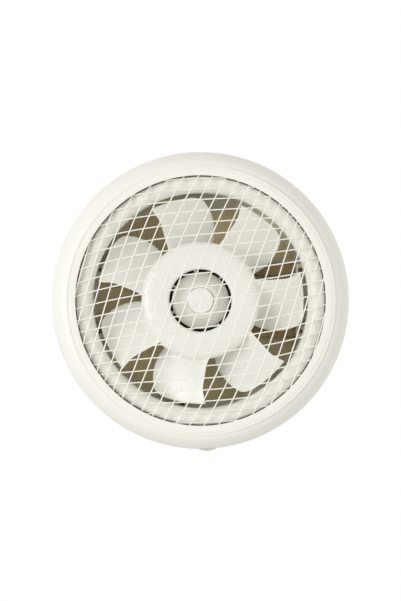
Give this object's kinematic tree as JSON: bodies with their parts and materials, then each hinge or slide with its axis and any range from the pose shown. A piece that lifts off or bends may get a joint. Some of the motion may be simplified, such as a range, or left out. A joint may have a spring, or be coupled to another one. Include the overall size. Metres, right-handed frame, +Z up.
{
  "type": "axial fan",
  "caption": "Round window-mounted axial extractor fan with wire guard, rolled air mouth, bladed impeller, gravity shutter flaps and louvred outdoor hood.",
  "frame": {"origin": "centre of the hole in the pane, on the pane's indoor face", "axes": "+Y along the impeller axis from the room to the open air, +Z up, +X to the right as seen from the room"},
  "size_m": [0.2968, 0.1719, 0.2986],
  "materials": {
    "case_plastic": "satin moulded",
    "guard_coating": "dipped plastic coating on wire",
    "impeller_plastic": "semi-gloss moulded",
    "inlet_plastic": "matte",
    "outdoor_plastic": "weathered matte",
    "flap_plastic": "matte olive",
    "gasket_rubber": "matte foam",
    "motor_paint": "satin",
    "core_steel": "laminated",
    "winding_wire": "enamelled",
    "lead_plastic": "matte",
    "bright_steel": "bright",
    "zinc_steel": "zinc plated"
  },
  "bodies": {
    "casing": {"front_bezel": "case_plastic", "orifice_ring": "case_plastic", "indoor_frame": "case_plastic", "terminal_box": "case_plastic", "wire_guard": "guard_coating", "cord_inlet": "inlet_plastic", "outdoor_frame": "outdoor_plastic", "outdoor_hood": "outdoor_plastic", "louvre_slat_1": "outdoor_plastic", "louvre_slat_2": "outdoor_plastic", "louvre_slat_3": "outdoor_plastic", "louvre_slat_4": "outdoor_plastic", "louvre_slat_5": "outdoor_plastic", "louvre_slat_6": "outdoor_plastic", "louvre_slat_7": "outdoor_plastic", "indoor_gasket": "gasket_rubber", "outdoor_gasket": "gasket_rubber", "motor_front_shell": "motor_paint", "motor_rear_shell": "motor_paint", "stator_core": "core_steel", "front_winding": "winding_wire", "rear_winding": "winding_wire", "motor_lead": "lead_plastic", "capacitor": "lead_plastic", "front_bearing": "bright_steel", "rear_bearing": "bright_steel", "hinge_rod_top": "bright_steel", "hinge_rod_middle": "bright_steel", "hinge_rod_bottom": "bright_steel", "rail_screw_1": "bright_steel", "rail_screw_2": "bright_steel", "rail_screw_3": "bright_steel", "rail_screw_4": "bright_steel", "motor_screw_1": "bright_steel", "motor_screw_2": "bright_steel", "motor_screw_3": "bright_steel", "motor_screw_4": "bright_steel", "clamp_screw_1": "bright_steel", "clamp_screw_2": "bright_steel", "clamp_screw_3": "bright_steel", "hood_screw_1": "bright_steel", "hood_screw_2": "bright_steel", "hood_screw_3": "bright_steel", "hood_screw_4": "bright_steel", "motor_rail_upper": "zinc_steel", "motor_rail_lower": "zinc_steel"},
    "rotor": {"impeller": "impeller_plastic", "spinner_nut": "impeller_plastic", "drive_pin": "bright_steel", "motor_shaft": "bright_steel", "rotor_core": "core_steel"},
    "flap_top": {"shutter_flap_top": "flap_plastic"},
    "flap_middle": {"shutter_flap_middle": "flap_plastic"},
    "flap_bottom": {"shutter_flap_bottom": "flap_plastic"}
  },
  "joints": [
    {"name": "fan_spin", "type": "hinge", "parent": "casing", "child": "rotor", "pos_m": [0, 0, 0], "axis": [0, -1, 0], "continuous": true},
    {"name": "flap_top_swing", "type": "hinge", "parent": "casing", "child": "flap_top", "pos_m": [0, 0.0475, 0.09], "axis": [1, 0, 0], "range_deg": [0, 50]},
    {"name": "flap_middle_swing", "type": "hinge", "parent": "casing", "child": "flap_middle", "pos_m": [0, 0.0475, 0.033], "axis": [1, 0, 0], "range_deg": [0, 50]},
    {"name": "flap_bottom_swing", "type": "hinge", "parent": "casing", "child": "flap_bottom", "pos_m": [0, 0.0475, -0.033], "axis": [1, 0, 0], "range_deg": [0, 50]}
  ]
}
